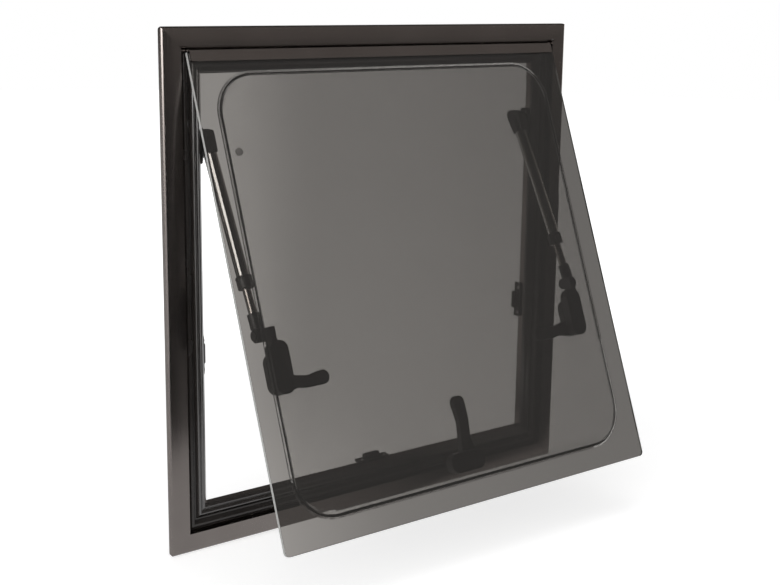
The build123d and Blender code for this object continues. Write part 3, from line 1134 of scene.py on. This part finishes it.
class SkyTree(NodeChain):
    """The world's nodes: a level of light that depends on the kind and the direction of a ray."""

    def __init__(self, name: str) -> None:
        """Makes the world and sets it in the scene.

        Args:
            name: the world's name.
        """
        self.world = bpy.data.worlds.new(name)
        self.world.use_nodes = True
        self.world.cycles.sampling_method = "NONE"
        bpy.context.scene.world = self.world
        self.nodes = self.world.node_tree.nodes
        self.links = self.world.node_tree.links
        self.ray = self.nodes.new("ShaderNodeLightPath").outputs
        self.way = self.nodes.new("ShaderNodeTexCoord").outputs["Generated"]

    def toward(self, grade: Grade) -> Socket:
        """A soft step by the direction that a ray goes in."""
        return self.grade(self.way, grade)

    def show(self, colour: Socket, level: Socket) -> None:
        """Links the light to the background.

        Args:
            colour: its colour.
            level: its strength.
        """
        background = self.nodes["Background"]
        self.links.new(colour, background.inputs["Color"])
        self.links.new(level, background.inputs["Strength"])


@dataclass(frozen=True)
class Sky:
    """What stands round the object: a dim room in front, a bright window at the left, a pale sweep behind.

    Plain numbers are levels of light, 1 being white, and a Grade says along which way a level changes.
    """

    fill: float = 0.38
    raised_room: float = 0.27
    far_side: float = 0.90
    window: float = 8.5
    room_tone: Colour = (1.0, 0.945, 0.90)
    room: Grade = Grade(Way.RIGHT, (0.10, 0.50), (0.09, 0.25))
    raised: Grade = Grade(Way.UP, (0.05, 0.25))
    behind: Grade = Grade(Way.BACK, (-0.30, 0.20))
    back_wall: Grade = Grade(Way.UP, (0.10, 0.40), (0.20, 0.08))
    far_patch: Grade = Grade(Way.FAR_SIDE, (0.86, 0.95))
    window_patch: Grade = Grade(Way.WINDOW, (0.80, 0.90))
    sweep: Grade = Grade(Way.ACROSS, (-0.20, 0.06), (0.50, 0.66))
    sweep_glare: Grade = Grade(Way.ACROSS, (0.045, 0.125), (0.0, 0.40))
    sweep_foot: Grade = Grade(Way.DOWN, (0.0, 0.40), (0.92, 1.18))
    sweep_end: Grade = Grade(Way.ACROSS, (0.16, 0.32), (1.0, 0.2))
    sweep_top: Grade = Grade(Way.UP, (-0.03, 0.12), (1.0, 0.25))
    corner_foot: Grade = Grade(Way.DOWN, (0.28, 0.42), (0.0, 0.40))
    corner_side: Grade = Grade(Way.ACROSS, (-0.03, 0.08))

    def build(self) -> None:
        """Makes the world: white for the camera, the room for reflections, the sweep behind the panes."""
        tree = SkyTree("studio")
        glossy = tree.ray["Is Glossy Ray"]
        clear = tree.ray["Is Transmission Ray"]
        room = tree.toward(self.room)
        behind = tree.toward(self.behind)
        beside = tree.times(tree.satin(tree.ray), tree.toward(self.window_patch))
        level = tree.mix(glossy, self.fill, self.mirrored(tree, room, behind, beside))
        level = tree.mix(clear, level, tree.mix(behind, room, self.beyond(tree)))
        level = tree.mix(tree.ray["Is Camera Ray"], level, 1.0)
        warm = tree.times(tree.less(glossy, clear), tree.less(1.0, beside))
        tree.show(tree.mix_colour(warm, WHITE, self.room_tone), level)

    def mirrored(self, tree: SkyTree, room: Socket, behind: Socket, beside: Socket) -> Socket:
        """What glossy surfaces mirror.

        Args:
            tree: the world's nodes.
            room: the level of the room in front.
            behind: 1 behind the object, 0 in front of it.
            beside: 1 in the window, 0 elsewhere.

        Returns:
            The level.
        """
        front = tree.mix(tree.toward(self.raised), room, self.raised_room)
        level = tree.mix(behind, front, tree.toward(self.back_wall))
        far = tree.times(tree.satin(tree.ray), tree.toward(self.far_patch))
        return tree.mix(beside, tree.mix(far, level, self.far_side), self.window)

    def beyond(self, tree: SkyTree) -> Socket:
        """The sweep that shows through the panes.

        Args:
            tree: the world's nodes.

        Returns:
            The level.
        """
        sweep = tree.plus(tree.toward(self.sweep), tree.toward(self.sweep_glare))
        sweep = tree.times(sweep, tree.toward(self.sweep_foot))
        corner = tree.times(tree.toward(self.corner_foot), tree.toward(self.corner_side))
        fade = tree.times(tree.toward(self.sweep_end), tree.toward(self.sweep_top))
        return tree.times(tree.plus(sweep, corner), fade)


@dataclass(frozen=True)
class Floor:
    """White round floor that keeps the object's shadow, and shows glossy surfaces a dark table.

    Plain numbers without a unit are levels of light, 1 being white.
    """

    height: float
    radius: float = 6.0
    sides: int = 96
    grey: Colour = (0.58, 0.58, 0.58)
    sheet: float = 0.78
    sheet_front: Grade = Grade(Way.BACK, (-0.35, -0.29))
    sheet_side: Grade = Grade(Way.RIGHT, (-0.12, 0.16), (1.0, 0.0))
    sunlit: float = 0.8
    sunlit_patch: Grade = Grade(Way.SUNLIT, (0.78, 0.92))
    sunlit_side: Grade = Grade(Way.RIGHT, (-0.75, -0.55), (1.0, 0.0))
    far_side: float = 0.90
    far_patch: Grade = Grade(Way.FAR_SIDE, (0.80, 0.92))
    table: Span = (0.035, 0.08)
    table_reach: Span = (1.4, 3.2)
    seen: Span = (0.62, 1.0)
    seen_reach: Span = (0.45, 1.0)

    def build(self) -> None:
        """Adds the floor."""
        bpy.ops.mesh.primitive_circle_add(
            vertices=self.sides, radius=self.radius, fill_type="NGON", location=(0.0, 0.0, self.height),
        )
        floor = bpy.context.object
        floor.name = "floor"
        floor.visible_transmission = False
        floor.data.materials.append(self.finish())
        floor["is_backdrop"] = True

    def finish(self) -> bpy.types.Material:
        """Makes the floor's finish.

        Returns:
            The material.
        """
        tree = ShaderTree("floor_white")
        tree.put(Roughness=1.0, Specular_IOR_Level=0.0, Emission_Color=(*WHITE, 1.0))
        ray = tree.nodes.new("ShaderNodeLightPath").outputs
        reach = tree.vector_math("LENGTH", tree.place).outputs["Value"]
        way = tree.vector_math("NORMALIZE", tree.place).outputs["Vector"]
        sheet = tree.times(tree.grade(tree.place, self.sheet_front), tree.grade(tree.place, self.sheet_side))
        sunlit = tree.times(tree.grade(way, self.sunlit_patch), tree.grade(tree.place, self.sunlit_side))
        mirrored = tree.mix(sheet, tree.ramp(reach, self.table_reach, self.table), self.sheet)
        mirrored = tree.mix(tree.grade(way, self.far_patch), mirrored, self.far_side)
        mirrored = tree.mix(tree.times(tree.satin(ray), sunlit), mirrored, self.sunlit)
        seen = tree.times(tree.ramp(reach, self.seen_reach, self.seen), ray["Is Camera Ray"])
        tree.feed("Emission Strength", tree.mix(ray["Is Glossy Ray"], seen, mirrored))
        tree.feed("Base Color", tree.mix_colour(ray["Is Glossy Ray"], self.grey, BLACK))
        return tree.material


@dataclass
class Studio:
    """Sky, floor and two soft lamps."""

    floor_height: float
    aim: Triple = (0.0, -0.05, 0.27)
    lamps: tuple[Softbox, ...] = (
        Softbox("window_box", (-2.0, -1.0, 0.99), width=3.0, height=1.5, glow=3.0),
        Softbox("top_box", (0.1, -0.1, 2.4), width=1.5, height=1.5, glow=2.2),
    )

    def build(self) -> None:
        """Adds them to the scene."""
        Sky().build()
        Floor(self.floor_height).build()
        for lamp in self.lamps:
            lamp.build(self.aim)


@dataclass(frozen=True)
class PhotoCamera:
    """Camera at the photograph's viewing angle, with its angles in degrees and its focal length in pixels."""

    place: Triple = (-831.8 * MM, -1136.2 * MM, 578.5 * MM)
    yaw: float = 36.67
    pitch: float = 11.62
    roll: float = 0.78
    focal_pixels: float = 1296.5
    image_width: float = 780.0
    sensor_width: float = 36.0
    shift: float = -0.05
    clip_start: float = 0.05

    def build(self) -> None:
        """Adds the camera and makes it the scene's own."""
        yaw = math.radians(self.yaw)
        pitch = math.radians(self.pitch)
        level = Vector((math.sin(yaw), math.cos(yaw), 0.0))
        ahead = level * math.cos(pitch) - Vector((0.0, 0.0, math.sin(pitch)))
        right = Vector((math.cos(yaw), -math.sin(yaw), 0.0))
        up = right.cross(ahead)
        turn = Matrix((right, up, -ahead)).transposed() @ Matrix.Rotation(math.radians(self.roll), 3, "Z")
        lens = bpy.data.cameras.new("photo_camera")
        lens.sensor_width = self.sensor_width
        lens.lens = self.focal_pixels * self.sensor_width / self.image_width
        lens.shift_y = self.shift
        lens.clip_start = self.clip_start
        camera = bpy.data.objects.new("photo_camera", lens)
        camera.matrix_world = Matrix.Translation(self.place) @ turn.to_4x4()
        bpy.context.scene.collection.objects.link(camera)
        bpy.context.scene.camera = camera


def main() -> None:
    """Loads the frame, dresses it, fits the small pieces and builds the studio."""
    logging.basicConfig(level=logging.INFO, format="%(name)s: %(message)s")
    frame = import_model()
    cad_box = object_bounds()
    bpy.context.scene.view_settings.view_transform = "Standard"
    nodes = frame["nodes"]
    joints = {joint["name"]: joint for joint in frame["joints"]}
    dresser = Dresser(nodes)
    screw = CrossScrew(ScrewSteel().make())

    outer = OuterFrame(dresser, screw)
    outer.dress()
    outer.fit_lip()
    outer.fit_screws()

    hinge = joints["sash_hinge"]
    swing = math.radians(-hinge["range_deg"][0])
    sash = Sash(dresser, SashPlace(nodes, Vector(hinge["pos_m"]), Vector(hinge["axis"]), swing), screw)
    sash.dress()
    sash.fit_pane_edge()
    sash.fit_bond_line()
    sash.fit_screws()

    lines = {}
    for side in SIDES:
        foot = Vector(joints[f"stay_foot_pivot_{side}"]["pos_m"])
        lines[side] = StayLine(nodes, foot, Vector(joints[f"stay_slide_{side}"]["axis"]).normalized())
    stays = Stays(dresser, lines)
    stays.dress()
    stays.fit_bands()

    Studio(floor_height=cad_box[0].z).build()
    PhotoCamera().build()


if __name__ == "__main__":
    main()
